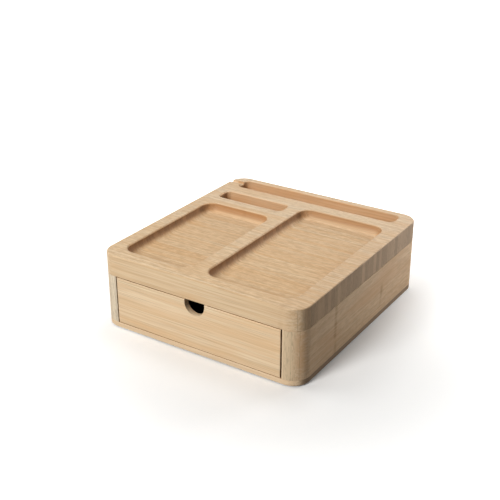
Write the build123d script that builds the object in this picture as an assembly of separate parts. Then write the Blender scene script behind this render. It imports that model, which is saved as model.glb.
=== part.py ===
from build123d import *
import os

os.makedirs("parts", exist_ok=True)

# Valet box with one drawer. All sizes in millimetres.
# X runs along the front, Y goes from the front to the back, Z is up.
# The origin is under the middle of the box, on the table its pads stand on.

# ---- outside of the box
box_width = 230.0
box_depth = 250.0
corner_radius = 17.8
pad_stand = 1.0
base_thickness = 5.8
bay_height = 51.0
tray_thickness = 22.5
top_edge_round = 1.4
under_edge_break = 0.7
seam_break = 0.3

# ---- walls of the drawer bay
side_thickness = 19.5
rear_thickness = 12.0

# ---- hollows milled into the top, given by where their rims lie
rim_bevel = 1.2
pocket_corner = 14.0
pocket_depth = 10.0
pocket_cove = 7.0
left_margin = 14.6
right_margin = 17.2
front_margin = 15.6
middle_land = 14.6
phone_land = 13.9
pocket_land = 15.6
pen_land = 15.8
phone_pocket_width = 100.2
pen_slot_width = 22.5
pen_slot_depth = 14.0
pen_slot_overrun = 0.3
pen_slot_corner = 7.0
pen_slot_cove = 4.0
card_slot_width = 23.4
card_slot_rear_wall = 6.4
card_slot_depth = 14.0
card_slot_corner = 8.0
card_slot_cove = 3.0
card_slot_right_margin = 17.4

# ---- cable groove from the card slot out through the left side
groove_width = 8.4
groove_depth = 2.6
groove_mouth_round = 1.5

# ---- drawer and the play round it
gap_left = 0.8
gap_right = 1.6
gap_top = 0.7
gap_bottom = 0.3
gap_rear = 0.5
front_thickness = 6.0
front_edge_break = 0.4
drawer_wall = 6.0
drawer_side_drop = 5.0
drawer_side_inset = 0.4
front_rabbet = 3.0
back_dado = 2.5
back_setback = 4.0
bottom_thickness = 3.0
bottom_lift = 3.5
bottom_groove_depth = 2.5
bottom_play = 0.3
glue_line = 0.05
liner_thickness = 1.2
liner_margin = 0.6
notch_radius = 11.4
notch_depth = 14.3

# ---- dowels that hold the panels together
dowel_diameter = 6.0
dowel_length = 20.0
dowel_fit = 0.1
dowel_end_play = 0.5
dowel_pitch = 92.0
rear_dowel_pitch = 26.0

# ---- pads under the base
pad_diameter = 12.0
pad_thickness = 1.8
pad_inset = 21.0
pad_edge_break = 0.4
pad_fit = 0.1

overshoot = 1.0

# ---- heights and edges that follow from the sizes above
half_width = box_width / 2
half_depth = box_depth / 2
bay_floor = pad_stand + base_thickness
seam = bay_floor + bay_height
top = seam + tray_thickness
bay_half = half_width - side_thickness
rear_inner = half_depth - rear_thickness
side_centre = half_width - side_thickness / 2
rear_centre = half_depth - rear_thickness / 2
pad_recess = pad_thickness - pad_stand

left_rim = -half_width + left_margin
phone_right_rim = half_width - right_margin
phone_left_rim = phone_right_rim - phone_pocket_width
pocket_right_rim = phone_left_rim - middle_land
front_rim = -half_depth + front_margin
card_back_rim = half_depth - card_slot_rear_wall
card_front_rim = card_back_rim - card_slot_width
card_right_rim = half_width - card_slot_right_margin
phone_back_rim = card_front_rim - phone_land
pen_back_rim = card_front_rim - pen_land
pen_front_rim = pen_back_rim - pen_slot_width
pocket_back_rim = pen_front_rim - pocket_land
card_centre_y = (card_front_rim + card_back_rim) / 2
card_wall_x = left_rim + rim_bevel

drawer_left = -bay_half + gap_left
drawer_right = bay_half - gap_right
drawer_middle = (drawer_left + drawer_right) / 2
drawer_floor = bay_floor + gap_bottom
front_top = seam - gap_top
drawer_rear = rear_inner - gap_rear
side_top = front_top - drawer_side_drop
side_left = drawer_left + drawer_side_inset
side_right = drawer_right - drawer_side_inset
side_start = -half_depth + front_thickness - front_rabbet
front_inner = -half_depth + front_thickness
back_front = drawer_rear - back_setback - drawer_wall
groove_floor = drawer_floor + bottom_lift
liner_floor = groove_floor + bottom_thickness


def block(x0, x1, y0, y1, z0, z1):
    """A plain block between the given faces."""
    middle = Pos((x0 + x1) / 2, (y0 + y1) / 2, (z0 + z1) / 2)
    return middle * Box(x1 - x0, y1 - y0, z1 - z0)


def rounded_block(x0, x1, y0, y1, z0, z1, radius):
    """A block whose upright edges are rounded."""
    outline = RectangleRounded(x1 - x0, y1 - y0, radius)
    return Pos((x0 + x1) / 2, (y0 + y1) / 2, z0) * extrude(outline, z1 - z0)


def full_outline(z0, z1):
    """The footprint of the box between two heights."""
    return rounded_block(-half_width, half_width, -half_depth, half_depth, z0, z1, corner_radius)


def hollow(x0, x1, y0, y1, depth, corner, cove):
    """The cutter for one milled hollow: its rim is given, its floor meets the walls in a cove."""
    inset = rim_bevel
    cutter = rounded_block(x0 + inset, x1 - inset, y0 + inset, y1 - inset,
                           top - depth, top + overshoot, corner - inset)
    return fillet(cutter.edges().group_by(Axis.Z)[0], cove)


def cable_groove():
    """Cutter for the shallow groove: level from the left side, rounded over where it meets the slot."""
    start = -half_width - overshoot
    edge = card_wall_x - groove_mouth_round
    foot = card_wall_x + overshoot
    floor = top - groove_depth
    mouth = floor - groove_mouth_round
    with BuildPart() as cutter:
        with BuildSketch(Plane.XZ.offset(-card_centre_y - groove_width / 2)):
            with BuildLine():
                Polyline((card_wall_x, mouth), (foot, mouth), (foot, top + overshoot),
                         (start, top + overshoot), (start, floor), (edge, floor))
                RadiusArc((edge, floor), (card_wall_x, mouth), groove_mouth_round)
            make_face()
        extrude(amount=groove_width)
    return cutter.part


def tray_hollows():
    """Cutters for the two pockets, the pen slot and the card slot."""
    left_pocket = hollow(left_rim, pocket_right_rim, front_rim, pocket_back_rim,
                         pocket_depth, pocket_corner, pocket_cove)
    phone_pocket = hollow(phone_left_rim, phone_right_rim, front_rim, phone_back_rim,
                          pocket_depth, pocket_corner, pocket_cove)
    pen_slot = hollow(left_rim - pen_slot_overrun, pocket_right_rim, pen_front_rim, pen_back_rim,
                      pen_slot_depth, pen_slot_corner, pen_slot_cove)
    card_slot = hollow(left_rim, card_right_rim, card_front_rim, card_back_rim,
                       card_slot_depth, card_slot_corner, card_slot_cove)
    return [left_pocket, phone_pocket, pen_slot, card_slot]


def dowel_places():
    """Where the upright dowels stand, three along each side panel."""
    return [(x, y) for x in (-side_centre, side_centre) for y in (-dowel_pitch, 0, dowel_pitch)]


def upright_dowel_hole(x, y):
    """Room for one upright dowel, half in the tray and half in the side."""
    reach = dowel_length / 2 + dowel_end_play
    return Pos(x, y, seam) * Cylinder((dowel_diameter + dowel_fit) / 2, 2 * reach)


def on_outline(edge):
    """True for an edge that lies on the outer wall of the box."""
    centre = edge.center(CenterOf.MASS)
    near_side = abs(centre.X) > half_width - corner_radius / 2
    near_end = abs(centre.Y) > half_depth - card_slot_rear_wall / 2
    return near_side or near_end


def edges_at(part, height, outer):
    """The edges at one height, on the outer wall or inside it."""
    level = part.edges().filter_by_position(Axis.Z, height, height)
    return [edge for edge in level if on_outline(edge) == outer]


def make_top_tray():
    """The thick top, with every hollow milled into it and its rims bevelled."""
    tray = full_outline(seam, top)
    for cutter in tray_hollows():
        tray -= cutter
    tray = chamfer(edges_at(tray, top, False), rim_bevel)
    tray = fillet(edges_at(tray, top, True), top_edge_round)
    tray = chamfer(edges_at(tray, seam, True), seam_break)
    tray -= cable_groove()
    for x, y in dowel_places():
        tray -= upright_dowel_hole(x, y)
    return tray


def rear_dowel_hole(sign, z):
    """Room for one level dowel, half in the rear panel and half in a side."""
    reach = dowel_length / 2 + dowel_end_play
    turned = Rot(0, 90, 0) * Cylinder((dowel_diameter + dowel_fit) / 2, 2 * reach)
    return Pos(sign * bay_half, rear_centre, z) * turned


def rear_dowel_heights():
    middle = (bay_floor + seam) / 2
    return (middle - rear_dowel_pitch / 2, middle + rear_dowel_pitch / 2)


def make_side(sign):
    """One side panel, a full-thickness board whose outer corners are rounded."""
    inner, outer = sign * bay_half, sign * (half_width + overshoot)
    keep = block(min(inner, outer), max(inner, outer), -box_depth, box_depth, bay_floor, seam)
    side = full_outline(bay_floor, seam) & keep
    for x, y in dowel_places():
        if x * sign > 0:
            side -= upright_dowel_hole(x, y)
    for z in rear_dowel_heights():
        side -= rear_dowel_hole(sign, z)
    return side


def make_rear_panel():
    """The board between the two sides that closes the drawer bay."""
    rear = block(-bay_half, bay_half, rear_inner, half_depth, bay_floor, seam)
    for sign in (-1, 1):
        for z in rear_dowel_heights():
            rear -= rear_dowel_hole(sign, z)
    return rear


def pad_places():
    """The four pad centres: front left, front right, rear left, rear right."""
    x, y = half_width - pad_inset, half_depth - pad_inset
    return {"front_left": (-x, -y), "front_right": (x, -y), "rear_left": (-x, y), "rear_right": (x, y)}


def make_base_panel():
    """The thin board under everything, whose front edge shows as the bottom rail."""
    base = full_outline(pad_stand, bay_floor)
    low = base.edges().filter_by_position(Axis.Z, pad_stand, pad_stand)
    base = chamfer(low, under_edge_break)
    recess = Cylinder((pad_diameter + pad_fit) / 2, 2 * pad_recess)
    for x, y in pad_places().values():
        base -= Pos(x, y, pad_stand) * recess
    return base


def make_pad(place):
    """One pad: its upper part sits in a shallow recess, the rest stands on the table."""
    x, y = pad_places()[place]
    pad = Cylinder(pad_diameter / 2, pad_thickness, align=(Align.CENTER, Align.CENTER, Align.MIN))
    pad = chamfer(pad.edges().group_by(Axis.Z)[0], pad_edge_break)
    return Pos(x, y, 0) * pad


def dowel():
    """One hardwood dowel, standing up and centred."""
    return Cylinder(dowel_diameter / 2, dowel_length)


def make_tray_dowels():
    return Compound(children=[Pos(x, y, seam) * dowel() for x, y in dowel_places()])


def make_rear_dowels():
    level = Rot(0, 90, 0) * dowel()
    return Compound(children=[Pos(sign * bay_half, rear_centre, z) * level
                              for sign in (-1, 1) for z in rear_dowel_heights()])


def notch_cutter():
    """The finger notch: a half round with straight walls up to the top edge."""
    centre_z = front_top - notch_depth + notch_radius
    depth = 2 * (front_thickness + overshoot)
    bore = Pos(drawer_middle, -half_depth, centre_z) * Rot(90, 0, 0) * Cylinder(notch_radius, depth)
    mouth = block(drawer_middle - notch_radius, drawer_middle + notch_radius,
                  -half_depth - depth / 2, -half_depth + depth / 2, centre_z, front_top + overshoot)
    return bore + mouth


def bottom_slot():
    """The groove that holds the drawer bottom, run round the inside of the drawer walls."""
    reach = bottom_groove_depth
    return block(side_left + drawer_wall - reach, side_right - drawer_wall + reach,
                 front_inner - reach, back_front + reach,
                 groove_floor, groove_floor + bottom_thickness + glue_line)


def make_drawer_front():
    """The flush front board, rebated behind for the sides and cut with the finger notch."""
    front = block(drawer_left, drawer_right, -half_depth, front_inner, drawer_floor, front_top)
    face = front.edges().group_by(Axis.Y)[0]
    front = chamfer(face, front_edge_break)
    for x0, x1 in ((drawer_left - overshoot, side_left + drawer_wall),
                   (side_right - drawer_wall, drawer_right + overshoot)):
        front -= block(x0, x1, side_start, front_inner + overshoot, drawer_floor - overshoot, side_top)
    front -= notch_cutter()
    return front - bottom_slot()


def make_drawer_side(x0, x1):
    """One drawer side, with a groove for the bottom and a dado for the back."""
    side = block(x0, x1, side_start, drawer_rear, drawer_floor, side_top)
    dado = block(side_left + drawer_wall - back_dado, side_right - drawer_wall + back_dado,
                 back_front, back_front + drawer_wall, drawer_floor - overshoot, side_top + overshoot)
    side -= dado
    side -= bottom_slot()
    upper = side.edges().filter_by_position(Axis.Z, side_top, side_top).filter_by(Axis.Y)
    return chamfer(upper, front_edge_break)


def make_drawer_back():
    """The board across the rear of the drawer, let into both sides."""
    back = block(side_left + drawer_wall - back_dado, side_right - drawer_wall + back_dado,
                 back_front, back_front + drawer_wall, drawer_floor, side_top)
    return back - bottom_slot()


def make_drawer_bottom():
    """The thin bottom, loose in its groove so that it can move with the weather."""
    reach = bottom_groove_depth - bottom_play
    return block(side_left + drawer_wall - reach, side_right - drawer_wall + reach,
                 front_inner - reach, back_front + reach, groove_floor, liner_floor)


def make_drawer_liner():
    """The felt laid on the drawer bottom."""
    return block(side_left + drawer_wall + liner_margin, side_right - drawer_wall - liner_margin,
                 front_inner + liner_margin, back_front - liner_margin,
                 liner_floor, liner_floor + liner_thickness)


parts = {
    "top_tray": make_top_tray(),
    "left_side": make_side(-1),
    "right_side": make_side(1),
    "rear_panel": make_rear_panel(),
    "base_panel": make_base_panel(),
    "tray_dowels": make_tray_dowels(),
    "rear_dowels": make_rear_dowels(),
    "pad_front_left": make_pad("front_left"),
    "pad_front_right": make_pad("front_right"),
    "pad_rear_left": make_pad("rear_left"),
    "pad_rear_right": make_pad("rear_right"),
    "drawer_front": make_drawer_front(),
    "drawer_left_side": make_drawer_side(side_left, side_left + drawer_wall),
    "drawer_right_side": make_drawer_side(side_right - drawer_wall, side_right),
    "drawer_back": make_drawer_back(),
    "drawer_bottom": make_drawer_bottom(),
    "drawer_liner": make_drawer_liner(),
}

for name, part in parts.items():
    export_step(part, f"parts/{name}.step")
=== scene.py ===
import math
import bpy
from mathutils import Matrix, Vector


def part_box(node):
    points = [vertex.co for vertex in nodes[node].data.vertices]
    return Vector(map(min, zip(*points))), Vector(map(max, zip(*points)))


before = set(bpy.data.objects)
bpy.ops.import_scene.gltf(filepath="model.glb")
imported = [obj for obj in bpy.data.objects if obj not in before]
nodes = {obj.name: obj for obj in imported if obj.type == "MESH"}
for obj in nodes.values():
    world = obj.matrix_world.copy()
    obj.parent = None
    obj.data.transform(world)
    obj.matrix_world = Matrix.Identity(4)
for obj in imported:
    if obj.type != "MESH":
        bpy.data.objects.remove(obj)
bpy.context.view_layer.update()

# ------------------------------------------------------------------ places on the part, in metres

TRAY_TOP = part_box("top_tray")[1][2]
HALF_WIDTH, HALF_DEPTH = 0.115, 0.125
FRONT = -HALF_DEPTH
HOLLOWS_X, HOLLOWS_Y = 0.1075, 0.1210            # the pockets and slots lie inside these
PEN_SLOT_FRONT, PEN_SLOT_RIGHT = 0.052, -0.010   # behind and left of these are only slots
CARD_SLOT_FRONT = 0.090                          # behind this is only the card slot
BAY_X, BAY_LOW, BAY_HIGH = 0.0962, 0.0060, 0.0582   # a little outside the bay's mouth
NOTCH_X, NOTCH_LOW = 0.0135, 0.0410              # a little outside the finger notch

# ------------------------------------------------------------------ numbers of the materials

# tints multiply the wood's colour; all of them but WHITE and KNUCKLE_BROWN are painted light or shade
WHITE = (1.0, 1.0, 1.0, 1.0)
# painted shade on the walls and floors of the slab's hollows
POCKET_WALL_SHADE = (0.68, 0.56, 0.46, 1.0)
SLOT_WALL_SHADE = (0.86, 0.76, 0.68, 1.0)
HOLLOW_FLOOR_SHADE = (0.95, 0.90, 0.83, 1.0)
# painted shade on the rounded top edge and toward the front and right, painted light toward the back
TOP_EDGE_SHADE = (0.84, 0.80, 0.75, 1.0)
FRONT_SHADE = (0.955, 0.935, 0.89, 1.0)
BACK_PAINTED_LIGHT = (1.03, 1.06, 1.12, 1.0)
RIGHT_SHADE = (0.95, 0.94, 0.95, 1.0)
# painted shade in the gap round the drawer
GAP_SHADE = (0.45, 0.29, 0.17, 1.0)
KNUCKLE_BROWN = (0.76, 0.68, 0.58)

# lengths in metres
FIBRE_WANDER = 0.0016
KNUCKLE_SWAY = 0.006
KNUCKLE_EDGE, KNUCKLE_CORE = 0.0042, 0.0005
GLUE_EDGE, GLUE_CORE = 0.00022, 0.00002
SOFT_CORNER = 0.0005

# ------------------------------------------------------------------ numbers of the floor and the light

FLOOR_HALF = 6.0
FLOOR_LIGHTING = (0.24, 0.236, 0.228, 1.0)       # what the floor sends back to the box
FLOOR_SHOWN = (0.845, 0.84, 0.825, 1.0)          # what the camera sees of it
GLOW_CENTRE = (0.06, -0.08, 0.0)
GLOW_NEAR, GLOW_FAR = 0.08, 0.42
FLOOR_GLOW = 0.05
WORLD_FILL = 0.065
BOX_MIDDLE = (0.0, 0.0, 0.04)
SOFTBOX = 0.6

# ------------------------------------------------------------------ node helpers


class Tree:
    """Short names for the nodes used here. It starts by emptying the tree."""

    def __init__(self, tree):
        self.tree = tree
        for n in list(tree.nodes):
            tree.nodes.remove(n)

    def node(self, kind, **settings):
        n = self.tree.nodes.new(kind)
        for key, value in settings.items():
            setattr(n, key, value)
        return n

    def put(self, socket, value):
        if hasattr(value, "is_output"):
            self.tree.links.new(value, socket)
        else:
            socket.default_value = value

    def math(self, op, a, b=None, c=None):
        n = self.node("ShaderNodeMath", operation=op)
        for i, v in enumerate((a, b, c)):
            if v is not None:
                self.put(n.inputs[i], v)
        return n.outputs[0]

    def mul(self, first, *rest):
        for value in rest:
            first = self.math("MULTIPLY", first, value)
        return first

    def add(self, a, b):
        return self.math("ADD", a, b)

    def size(self, value):
        return self.math("ABSOLUTE", value)

    def ramp(self, fac, lo, hi, to_lo=0.0, to_hi=1.0, smooth=True):
        n = self.node("ShaderNodeMapRange")
        n.interpolation_type = "SMOOTHSTEP" if smooth else "LINEAR"
        n.clamp = True
        names = ("Value", "From Min", "From Max", "To Min", "To Max")
        for key, v in zip(names, (fac, lo, hi, to_lo, to_hi)):
            self.put(n.inputs[key], v)
        return n.outputs["Result"]

    def xyz(self, x, y, z):
        n = self.node("ShaderNodeCombineXYZ")
        for i, v in enumerate((x, y, z)):
            self.put(n.inputs[i], v)
        return n.outputs[0]

    def split(self, vector):
        n = self.node("ShaderNodeSeparateXYZ")
        self.put(n.inputs[0], vector)
        return dict(zip("xyz", n.outputs))

    def noise(self, vector, scale=1.0, detail=2.0, rough=0.5, distort=0.0):
        n = self.node("ShaderNodeTexNoise", noise_dimensions="3D")
        self.put(n.inputs["Vector"], vector)
        self.put(n.inputs["Scale"], scale)
        self.put(n.inputs["Detail"], detail)
        self.put(n.inputs["Roughness"], rough)
        self.put(n.inputs["Distortion"], distort)
        return n.outputs[0]

    def white(self, value, seed):
        n = self.node("ShaderNodeTexWhiteNoise", noise_dimensions="2D")
        self.put(n.inputs["Vector"], self.xyz(value, seed, 0.0))
        return n.outputs["Value"]

    def mix(self, fac, a, b, mode="MIX"):
        n = self.node("ShaderNodeMix", data_type="RGBA", blend_type=mode, clamp_factor=True)
        self.put(n.inputs[0], fac)
        self.put(n.inputs[6], a)
        self.put(n.inputs[7], b)
        return n.outputs[2]

    def lay(self, col, mask, amount, colour):
        """A colour laid over col where the mask is, with amount as its strength."""
        return self.mix(self.mul(mask, amount), col, colour)

    def times(self, col, tint):
        return self.mix(1.0, col, tint, "MULTIPLY")

    def tint(self, col, mask, tint):
        return self.times(col, self.mix(mask, WHITE, tint))

    def bump(self, height, strength, distance, normal=None):
        n = self.node("ShaderNodeBump")
        self.put(n.inputs["Strength"], strength)
        self.put(n.inputs["Distance"], distance)
        self.put(n.inputs["Height"], height)
        if normal is not None:
            self.put(n.inputs["Normal"], normal)
        return n.outputs["Normal"]

    def surface(self, colour, rough, normal, levels):
        n = self.node("ShaderNodeBsdfPrincipled")
        self.put(n.inputs["Base Color"], colour)
        self.put(n.inputs["Roughness"], rough)
        self.put(n.inputs["Normal"], normal)
        for key, value in levels.items():
            self.put(n.inputs[key], value)
        self.out(n.outputs[0])

    def seen(self):
        """1 for a ray from the camera, a reflection or a refraction, 0 for a ray that carries light."""
        path = self.node("ShaderNodeLightPath")
        seen = self.math("MAXIMUM", path.outputs["Is Camera Ray"], path.outputs["Is Glossy Ray"])
        return self.math("MAXIMUM", seen, path.outputs["Is Transmission Ray"])

    def out(self, shader, kind="ShaderNodeOutputMaterial"):
        self.put(self.node(kind).inputs["Surface"], shader)


def new_material(name):
    mat = bpy.data.materials.new(name)
    mat.use_nodes = True
    return mat, Tree(mat.node_tree)


def srgb(r, g, b):
    def lin(c):
        c /= 255.0
        return c / 12.92 if c <= 0.04045 else ((c + 0.055) / 1.055) ** 2.4
    return (lin(r), lin(g), lin(b), 1.0)


def scaled(colour, factor):
    return srgb(*[min(255, c * factor) for c in colour])


# ------------------------------------------------------------------ bamboo


def bamboo(name, grain, across, strip=0.0062, light=(229, 206, 174), dark=(208, 176, 138),
           warm=(211, 175, 132), end=(184, 160, 131), seed=0.0, contrast=1.0, figure=0.30,
           knuckles=0.20, node_gap=0.21, knuckle_at=None, phase=0.0, mottled=0.0,
           far_end=None, slab_shading=False, gap_shading=False):
    """Laminated bamboo: strips laid along the grain, with fibre streaks, joints and knuckle marks.

    grain is the axis that the strips run along and across the axis they are stacked on, and phase
    is where the first of them starts. With knuckle_at, every strip has its knuckle there, as in a
    board cut from one stem. mottled is how much short flecks show on the faces that look up or to
    the sides. far_end is the cut end's colour on the far end. The last two flags paint light and
    shade on the slab, and shade in the gap round the drawer."""
    mat, t = new_material(name)
    coord = t.node("ShaderNodeTexCoord")
    axis = t.split(coord.outputs["Object"])
    normal = t.split(coord.outputs["Normal"])
    third = "xyz".replace(grain, "").replace(across, "")
    g, a, h = axis[grain], axis[across], axis[third]

    def cloud(long_scale, wide_scale, deep_scale=None, over=(a, h), **settings):
        """Noise with its own scale along the grain, across it and through the board."""
        return t.noise(t.xyz(t.mul(g, long_scale), t.mul(over[0], wide_scale),
                             t.mul(over[1], deep_scale or wide_scale)), **settings)

    # each strip has its own tone, shade and knuckle places
    place = t.math("DIVIDE", t.add(a, phase) if phase else a, strip)
    index = t.math("FLOOR", place)
    along = t.math("FRACT", place)
    tone = t.white(index, 3.1 + seed)
    shade = t.white(index, 7.7 + seed)
    if knuckle_at is None:
        shift = t.mul(t.white(index, 11.3 + seed), node_gap)
    else:
        shift = 0.5 * node_gap - knuckle_at

    # soft wander of the fibres, then fibres at three widths
    wander = t.mul(cloud(9.0, 22.0, detail=1.0), FIBRE_WANDER)
    aw, hw = t.add(a, wander), t.add(h, wander)

    def fibres(long_scale, wide_scale, offset):
        v = t.xyz(t.math("MULTIPLY_ADD", g, long_scale, t.mul(tone, 5.0)),
                  t.math("MULTIPLY_ADD", aw, wide_scale, offset + seed), t.mul(hw, wide_scale))
        return t.noise(v, rough=0.55)

    fine = fibres(16.0, 1500.0, 1.3)
    mid = fibres(9.0, 480.0, 4.9)
    broad = fibres(5.0, 120.0, 8.1)
    patches = cloud(7.0, 34.0, detail=3.0, distort=0.4)

    # knuckle marks: a short darker band across the strips, which sways and comes and goes
    sway = t.mul(cloud(4.0, 60.0, detail=1.0), KNUCKLE_SWAY)
    cycle = t.math("FRACT", t.math("DIVIDE", t.add(t.add(g, sway), shift), node_gap))
    away = t.mul(t.size(t.math("SUBTRACT", cycle, 0.5)), node_gap)
    patchy = t.ramp(cloud(10.0, 30.0, 55.0, detail=1.0), 0.42, 0.56)
    knuckle = t.mul(t.ramp(away, KNUCKLE_EDGE, KNUCKLE_CORE), t.ramp(mid, 0.30, 0.62, 0.35, 1.0),
                    patchy)

    # thin glue lines between strips
    edge = t.math("MINIMUM", along, t.math("SUBTRACT", 1.0, along))
    joint = t.ramp(t.mul(edge, strip), GLUE_EDGE, GLUE_CORE)

    # where the surface faces along the grain, the cut ends of the fibres show
    endness = t.ramp(t.size(normal[grain]), 0.66, 0.98)

    pale = scaled(light, 1.06)
    col = t.mix(t.ramp(mid, 0.32, 0.70), srgb(*light), srgb(*dark))
    col = t.lay(col, t.ramp(broad, 0.40, 0.72), 0.55 * contrast, srgb(*warm))
    col = t.lay(col, t.ramp(fine, 0.52, 0.74), 0.42 * contrast, scaled(dark, 0.80))
    col = t.lay(col, t.ramp(fine, 0.46, 0.28), 0.30 * contrast, pale)
    if mottled:
        flecks = cloud(110.0, 420.0, over=(aw, hw), rough=0.6)
        flecked = t.mul(t.ramp(t.size(normal["y"]), 0.6, 0.2), mottled)
        col = t.lay(col, t.ramp(flecks, 0.46, 0.66), flecked, scaled(dark, 0.90))
        col = t.lay(col, t.ramp(flecks, 0.52, 0.34), flecked, pale)
    col = t.lay(col, t.ramp(tone, 0.2, 1.0), 0.30, srgb(*warm))
    col = t.lay(col, t.ramp(shade, 0.55, 1.0), 0.22, srgb(*dark))
    col = t.lay(col, t.ramp(patches, 0.48, 0.68), figure, srgb(*warm))
    col = t.lay(col, knuckle, knuckles, srgb(*[c * k for c, k in zip(warm, KNUCKLE_BROWN)]))

    # end grain, with the fibre bundles as specks
    specks = cloud(60.0, 1150.0, 150.0, rough=0.6)
    end_col = t.mix(t.ramp(specks, 0.46, 0.70), srgb(*end), scaled(end, 0.82))
    if far_end:
        end_col = t.mix(t.math("GREATER_THAN", g, 0.0), end_col, srgb(*far_end))
    end_col = t.lay(end_col, tone, 0.60, scaled(end, 0.82))
    end_col = t.lay(end_col, t.ramp(shade, 0.4, 1.0), 0.45, scaled(end, 1.12))
    col = t.mix(endness, col, end_col)
    col = t.lay(col, joint, 0.40, scaled(dark, 0.62))
    # painted light and shade on the slab
    if slab_shading:
        col = paint_slab_shading(t, axis, normal, col)
    # painted shade in the gap round the drawer
    if gap_shading:
        col = paint_gap_shade(t, axis, normal, col)

    rough = t.add(t.ramp(fine, 0.3, 0.7, 0.47, 0.61), t.mul(endness, 0.12))
    height = t.add(t.mul(fine, -0.55), t.mul(mid, -0.30))
    height = t.add(height, t.mul(joint, -0.9))
    height = t.add(height, t.mul(specks, endness, -0.3))
    soft = t.node("ShaderNodeBevel", samples=4)
    t.put(soft.inputs["Radius"], SOFT_CORNER)
    t.surface(col, rough, t.bump(height, 0.12, 0.0003, soft.outputs["Normal"]),
              {"Specular IOR Level": 0.25})
    return mat


def paint_slab_shading(t, axis, normal, col):
    """The slab's tones: painted light and shade laid on the wood.

    Painted shade makes the hollows warmer and darker than the top, the steep walls more than the
    floors.
    Painted shade makes the rounded top edge a little browner where it would shine, and the board as
    a whole browner toward its front and right edges; painted light makes it paler toward the back."""
    # painted shade toward the front and right edges, painted light toward the back
    col = t.times(col, t.mix(t.ramp(axis["y"], FRONT, 0.115, smooth=False), FRONT_SHADE, BACK_PAINTED_LIGHT))
    col = t.tint(col, t.ramp(axis["x"], 0.070, 0.112), RIGHT_SHADE)

    wide, deep = t.size(axis["x"]), t.size(axis["y"])
    inner = t.mul(t.math("LESS_THAN", wide, HOLLOWS_X), t.math("LESS_THAN", deep, HOLLOWS_Y))
    sunk = t.mul(inner, t.ramp(axis["z"], TRAY_TOP - 0.0001, TRAY_TOP - 0.0010))
    steep = t.ramp(normal["z"], 0.99, 0.50)
    pen = t.mul(t.math("GREATER_THAN", axis["y"], PEN_SLOT_FRONT),
                t.math("LESS_THAN", axis["x"], PEN_SLOT_RIGHT))
    slots = t.math("MAXIMUM", t.math("GREATER_THAN", axis["y"], CARD_SLOT_FRONT), pen)
    # painted shade on the hollows' floors, and more of it on their steep walls
    col = t.tint(col, sunk, HOLLOW_FLOOR_SHADE)
    col = t.tint(col, t.mul(sunk, steep), t.mix(slots, POCKET_WALL_SHADE, SLOT_WALL_SHADE))

    # painted shade on the rounded outer top edge
    outer = t.math("MAXIMUM", t.ramp(deep, HALF_DEPTH - 0.0022, HALF_DEPTH - 0.0010),
                   t.ramp(wide, HALF_WIDTH - 0.0022, HALF_WIDTH - 0.0010))
    tilt = t.mul(t.ramp(normal["z"], 0.10, 0.50), t.ramp(normal["z"], 0.995, 0.90))
    return t.tint(col, t.mul(outer, tilt), TOP_EDGE_SHADE)


def paint_gap_shade(t, axis, normal, col):
    """Painted shade in the gap makes the edges at the bay's mouth and round the drawer front browner
    than the faces.

    The finger notch is left out of it."""
    side_on = t.ramp(t.size(normal["y"]), 0.5, 0.3)
    mouth = t.mul(t.ramp(axis["y"], FRONT + 0.00005, FRONT + 0.00030),
                  t.ramp(axis["y"], FRONT + 0.0038, FRONT + 0.0028))
    wide = t.size(axis["x"])
    inside = t.mul(t.math("LESS_THAN", wide, BAY_X), t.math("GREATER_THAN", axis["z"], BAY_LOW),
                   t.math("LESS_THAN", axis["z"], BAY_HIGH))
    notch = t.mul(t.math("LESS_THAN", wide, NOTCH_X), t.math("GREATER_THAN", axis["z"], NOTCH_LOW))
    return t.tint(col, t.mul(side_on, mouth, inside, t.math("SUBTRACT", 1.0, notch)), GAP_SHADE)


# ------------------------------------------------------------------ felt and rubber


def felt(name, colour, tuft):
    """Pressed felt: matted short fibres with a little sheen."""
    mat, t = new_material(name)
    p = t.node("ShaderNodeTexCoord").outputs["Object"]
    clump = t.noise(p, scale=260.0, detail=4.0, rough=0.6, distort=0.6)
    fibre = t.noise(p, scale=1900.0, detail=3.0, rough=0.7, distort=1.2)
    col = t.mix(t.ramp(fibre, 0.40, 0.68), srgb(*colour), srgb(*tuft))
    col = t.lay(col, t.ramp(clump, 0.45, 0.70), 0.4, srgb(*tuft))
    height = t.add(t.mul(clump, 0.6), fibre)
    t.surface(col, t.ramp(fibre, 0.3, 0.7, 0.88, 1.0), t.bump(height, 0.5, 0.0006),
              {"Specular IOR Level": 0.2, "Sheen Weight": 0.25, "Sheen Roughness": 0.5})
    return mat


def rubber(name):
    """Moulded rubber: near black, with a fine pebble and a little dust."""
    mat, t = new_material(name)
    p = t.node("ShaderNodeTexCoord").outputs["Object"]
    pebble = t.noise(p, scale=2400.0)
    dust = t.noise(p, scale=190.0, detail=4.0, rough=0.65)
    col = t.mix(t.ramp(dust, 0.45, 0.75), srgb(38, 37, 36), srgb(60, 58, 55))
    t.surface(col, t.ramp(pebble, 0.3, 0.7, 0.62, 0.82), t.bump(pebble, 0.3, 0.0002), {})
    return mat


# ------------------------------------------------------------------ the pieces


def dress(mat, *names):
    for name in names:
        data = nodes[name].data
        data.materials.clear()
        data.materials.append(mat)


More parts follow.
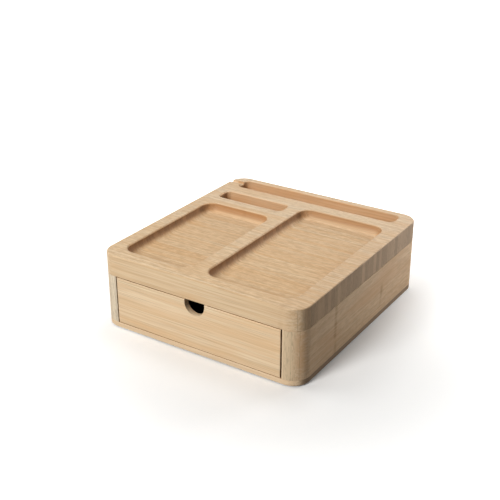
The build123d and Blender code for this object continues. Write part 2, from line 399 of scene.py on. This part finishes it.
tray_wood = bamboo("bamboo_tray", "x", "y", light=(227, 203, 170), dark=(211, 181, 145),
                   warm=(214, 173, 126), end=(190, 161, 129), figure=0.45, mottled=0.42,
                   knuckles=0.16, phase=0.0031, slab_shading=True, gap_shading=True)
left_wood = bamboo("bamboo_side_left", "y", "x", strip=0.0065, seed=2.0, end=(232, 214, 186),
                   far_end=(218, 192, 157), gap_shading=True)
right_wood = bamboo("bamboo_side_right", "y", "x", strip=0.0065, seed=4.0, light=(222, 195, 160),
                    dark=(203, 170, 133), warm=(206, 166, 125), end=(222, 196, 160), figure=0.6,
                    contrast=1.1, mottled=0.30, knuckles=0.55, node_gap=0.098, knuckle_at=-0.057,
                    gap_shading=True)
front_wood = bamboo("bamboo_drawer_front", "x", "z", strip=0.0500, seed=5.0, light=(237, 214, 181),
                    dark=(217, 187, 148), warm=(226, 189, 145), figure=0.6, contrast=1.5,
                    knuckles=0.0, gap_shading=True)
rear_wood = bamboo("bamboo_rear", "x", "z", strip=0.0085, seed=9.0)
# the base's cut ends are end grain, darker than its faces, and darker still with painted shade where
# the box meets the floor
base_wood = bamboo("bamboo_base", "x", "z", strip=0.02, seed=13.0, light=(238, 213, 178),
                   dark=(222, 190, 152), warm=(226, 188, 146), end=(142, 119, 95), knuckles=0.0,
                   gap_shading=True)
box_wood = bamboo("bamboo_drawer_walls", "y", "z", strip=0.0075, seed=17.0)
back_wood = bamboo("bamboo_drawer_back", "x", "z", strip=0.0075, seed=21.0)
ply_wood = bamboo("bamboo_drawer_bottom", "x", "y", strip=0.016, seed=25.0)
dowel_wood = bamboo("dowel_beech", "z", "y", strip=0.05, seed=29.0)
dowel_wood_level = bamboo("dowel_beech_level", "x", "y", strip=0.05, seed=31.0)

dress(tray_wood, "top_tray")
dress(left_wood, "left_side")
dress(right_wood, "right_side")
dress(front_wood, "drawer_front")
dress(rear_wood, "rear_panel")
dress(base_wood, "base_panel")
dress(box_wood, "drawer_left_side", "drawer_right_side")
dress(back_wood, "drawer_back")
dress(ply_wood, "drawer_bottom")
dress(dowel_wood, "tray_dowels")
dress(dowel_wood_level, "rear_dowels")
dress(felt("felt_liner", (24, 24, 26), (40, 40, 43)), "drawer_liner")
dress(rubber("rubber_pad"), "pad_front_left", "pad_front_right", "pad_rear_left", "pad_rear_right")

# ------------------------------------------------------------------ floor, light, camera


def place_in_scene(name, data):
    item = bpy.data.objects.new(name, data)
    bpy.context.scene.collection.objects.link(item)
    return item


def make_floor():
    """A white sweep: shaded round the box, and glowing up to pure white away from it."""
    mesh = bpy.data.meshes.new("floor")
    corners = [(x * FLOOR_HALF, y * FLOOR_HALF, 0) for x, y in ((-1, -1), (1, -1), (1, 1), (-1, 1))]
    mesh.from_pydata(corners, [], [(0, 1, 2, 3)])
    floor = place_in_scene("floor", mesh)
    mat, t = new_material("floor_white")
    lit = t.node("ShaderNodeBsdfDiffuse")
    t.put(lit.inputs["Color"], FLOOR_LIGHTING)
    shown = t.node("ShaderNodeBsdfDiffuse")
    t.put(shown.inputs["Color"], FLOOR_SHOWN)
    away = t.node("ShaderNodeVectorMath", operation="DISTANCE")
    t.put(away.inputs[0], t.node("ShaderNodeTexCoord").outputs["Object"])
    t.put(away.inputs[1], GLOW_CENTRE)
    glow = t.node("ShaderNodeEmission")
    t.put(glow.inputs["Strength"], t.ramp(away.outputs["Value"], GLOW_NEAR, GLOW_FAR, FLOOR_GLOW, 1.0))
    both = t.node("ShaderNodeAddShader")
    t.put(both.inputs[0], shown.outputs[0])
    t.put(both.inputs[1], glow.outputs[0])
    pick = t.node("ShaderNodeMixShader")
    t.put(pick.inputs[0], t.seen())
    t.put(pick.inputs[1], lit.outputs[0])
    t.put(pick.inputs[2], both.outputs[0])
    t.out(pick.outputs[0])
    mesh.materials.append(mat)


def make_world():
    """White where it is seen, and a weak even fill where it lights."""
    world = bpy.data.worlds.new("studio")
    bpy.context.scene.world = world
    world.use_nodes = True
    t = Tree(world.node_tree)
    bg = t.node("ShaderNodeBackground")
    t.put(bg.inputs["Color"], WHITE)
    t.put(bg.inputs["Strength"], t.ramp(t.seen(), 0.0, 1.0, WORLD_FILL, 1.0, smooth=False))
    t.out(bg.outputs[0], "ShaderNodeOutputWorld")


def hang(data, place, aim):
    lamp = place_in_scene(data.name, data)
    lamp.location = place
    lamp.visible_camera = False
    lamp.rotation_euler = (Vector(aim) - Vector(place)).to_track_quat("-Z", "Y").to_euler()


def area(name, place, aim, size, power):
    data = bpy.data.lights.new(name, "AREA")
    data.shape = "DISK"
    data.size = size
    data.energy = power
    hang(data, place, aim)


def spot(name, place, aim, cone, power):
    data = bpy.data.lights.new(name, "SPOT")
    data.spot_size = math.radians(cone)
    data.spot_blend = 1.0
    data.shadow_soft_size = 0.05
    data.energy = power
    hang(data, place, aim)


def make_camera():
    """The photograph's viewing angle, solved from the box's own edges."""
    az, el = math.radians(32.93), math.radians(25.22)
    target, distance = Vector((-0.0375, 0.02816, 0.0410)), 1.00671
    focal_pixels, picture_pixels, sensor_mm = 927.97, 500.0, 36.0
    back = Vector((math.sin(az) * math.cos(el), -math.cos(az) * math.cos(el), math.sin(el)))
    right = Vector((math.cos(az), math.sin(az), 0.0))
    up = back.cross(right)
    data = bpy.data.cameras.new("camera")
    data.sensor_width = sensor_mm
    data.sensor_fit = "HORIZONTAL"
    data.lens = focal_pixels / picture_pixels * sensor_mm
    data.clip_start = 0.01
    data.clip_end = 50.0
    camera = place_in_scene("camera", data)
    turn = Matrix((right, up, back)).transposed().to_4x4()
    camera.matrix_world = Matrix.Translation(target + back * distance) @ turn
    bpy.context.scene.camera = camera


make_floor()
make_world()
area("overhead", (-0.10, 0.42, 1.5), BOX_MIDDLE, SOFTBOX, 5.0)
area("key_left", (-0.70, -0.35, 1.35), BOX_MIDDLE, SOFTBOX, 4.6)
area("fill_front", (-0.23, -1.45, 0.92), BOX_MIDDLE, SOFTBOX, 24.0)
area("back_right", (0.36, 0.52, 0.24), (0.10, 0.10, 0.04), 0.28, 1.6)
spot("side_rear", (0.62, 0.30, 0.16), (0.115, 0.16, 0.03), 50.0, 2.4)
make_camera()
bpy.context.scene.view_settings.view_transform = "Standard"
